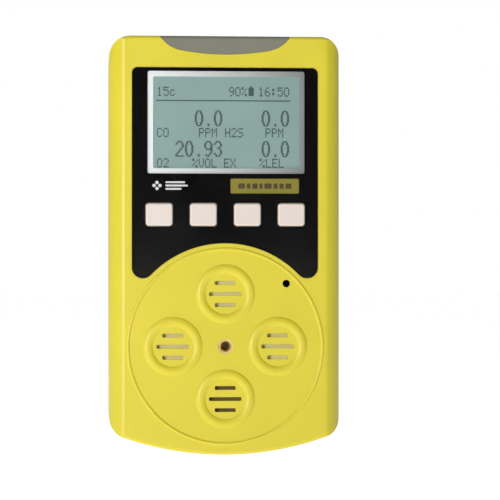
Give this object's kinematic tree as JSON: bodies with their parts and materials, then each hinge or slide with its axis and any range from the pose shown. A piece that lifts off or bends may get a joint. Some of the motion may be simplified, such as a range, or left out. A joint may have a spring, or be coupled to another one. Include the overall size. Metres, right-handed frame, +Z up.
{
  "type": "portable gas detector",
  "caption": "Hand-held gas detector with a display, push buttons, sensor ports, an alarm lens and a rear belt clip.",
  "frame": {"origin": "middle of the belt seat, on the back face under the clip", "axes": "+Z up along the long side, +Y out of the back towards the belt, -Y out of the display"},
  "size_m": [0.0664, 0.043, 0.1197],
  "materials": {
    "shell_yellow": "satin, fine moulded grain",
    "lens_smoke": "polished translucent",
    "window_clear": "polished",
    "panel_black": "gloss",
    "bezel_metal": "satin",
    "lcd_grey": "gloss",
    "backlight_white": "matte",
    "contact_rubber": "matte",
    "board_green": "solder mask",
    "chip_black": "matte",
    "led_clear": "gloss",
    "key_grey": "satin",
    "switch_black": "matte",
    "sensor_white": "matte",
    "sensor_steel": "turned",
    "contact_gold": "plated",
    "filter_white": "porous",
    "sinter_brown": "sintered grain",
    "seal_black": "matte",
    "insert_brass": "turned",
    "buzzer_black": "matte",
    "battery_wrap": "foil",
    "foam_grey": "foam",
    "motor_steel": "drawn",
    "weight_metal": "sintered",
    "clip_steel": "brushed",
    "screw_steel": "turned",
    "spring_steel": "drawn wire",
    "label_silver": "blank label film"
  },
  "bodies": {
    "case": {"front_case": "shell_yellow", "rear_case": "shell_yellow", "case_seal": "seal_black", "alarm_lens": "lens_smoke", "front_lens": "window_clear", "panel_mask": "panel_black", "lcd_bezel": "bezel_metal", "lcd_glass": "lcd_grey", "lcd_backlight": "backlight_white", "zebra_strips": "contact_rubber", "display_board": "board_green", "main_board": "board_green", "main_board_chips": "chip_black", "board_header": "chip_black", "board_screws": "screw_steel", "alarm_leds": "led_clear", "oxygen_sensor": "sensor_white", "carbon_monoxide_sensor": "sensor_white", "hydrogen_sulphide_sensor": "sensor_white", "flammable_gas_sensor": "sensor_steel", "sensor_sockets": "contact_gold", "sensor_seal": "seal_black", "dust_filter_top": "filter_white", "dust_filter_left": "filter_white", "dust_filter_right": "filter_white", "flame_arrestor": "sinter_brown", "calibration_insert": "insert_brass", "buzzer": "buzzer_black", "buzzer_gasket": "seal_black", "battery_pack": "battery_wrap", "battery_pad": "foam_grey", "vibration_motor": "motor_steel", "charge_socket": "motor_steel", "case_screws": "screw_steel", "case_inserts": "insert_brass", "rating_label": "label_silver", "clip_bracket": "clip_steel", "clip_screws": "screw_steel", "clip_hinge_pin": "clip_steel", "clip_spring": "spring_steel", "key_switch_1": "switch_black", "key_switch_2": "switch_black", "key_switch_3": "switch_black", "key_switch_4": "switch_black"},
    "button_1": {"button_1": "key_grey"},
    "button_2": {"button_2": "key_grey"},
    "button_3": {"button_3": "key_grey"},
    "button_4": {"button_4": "key_grey"},
    "clip": {"clip_lever": "clip_steel"},
    "cover": {"port_cover": "seal_black"},
    "motor_rotor": {"motor_shaft": "motor_steel", "motor_weight": "weight_metal"}
  },
  "joints": [
    {"name": "press_1", "type": "slide", "parent": "case", "child": "button_1", "axis": [0, 1, 0], "range_m": [0, 0.0005], "stiffness_N_per_m": 1200, "springref_m": -0.0003},
    {"name": "press_2", "type": "slide", "parent": "case", "child": "button_2", "axis": [0, 1, 0], "range_m": [0, 0.0005], "stiffness_N_per_m": 1200, "springref_m": -0.0003},
    {"name": "press_3", "type": "slide", "parent": "case", "child": "button_3", "axis": [0, 1, 0], "range_m": [0, 0.0005], "stiffness_N_per_m": 1200, "springref_m": -0.0003},
    {"name": "press_4", "type": "slide", "parent": "case", "child": "button_4", "axis": [0, 1, 0], "range_m": [0, 0.0005], "stiffness_N_per_m": 1200, "springref_m": -0.0003},
    {"name": "clip_hinge", "type": "hinge", "parent": "case", "child": "clip", "pos_m": [0, 0.005, 0.026], "axis": [1, 0, 0], "range_deg": [0, 20], "stiffness_Nm_per_rad": 0.5, "springref_deg": -22.92, "deforming": ["clip_spring"]},
    {"name": "cover_hinge", "type": "hinge", "parent": "case", "child": "cover", "pos_m": [0, -0.0124, -0.0728], "axis": [-1, 0, 0], "range_deg": [0, 95]},
    {"name": "motor_spin", "type": "hinge", "parent": "case", "child": "motor_rotor", "pos_m": [0, -0.0055, -0.06], "axis": [1, 0, 0], "continuous": true}
  ]
}
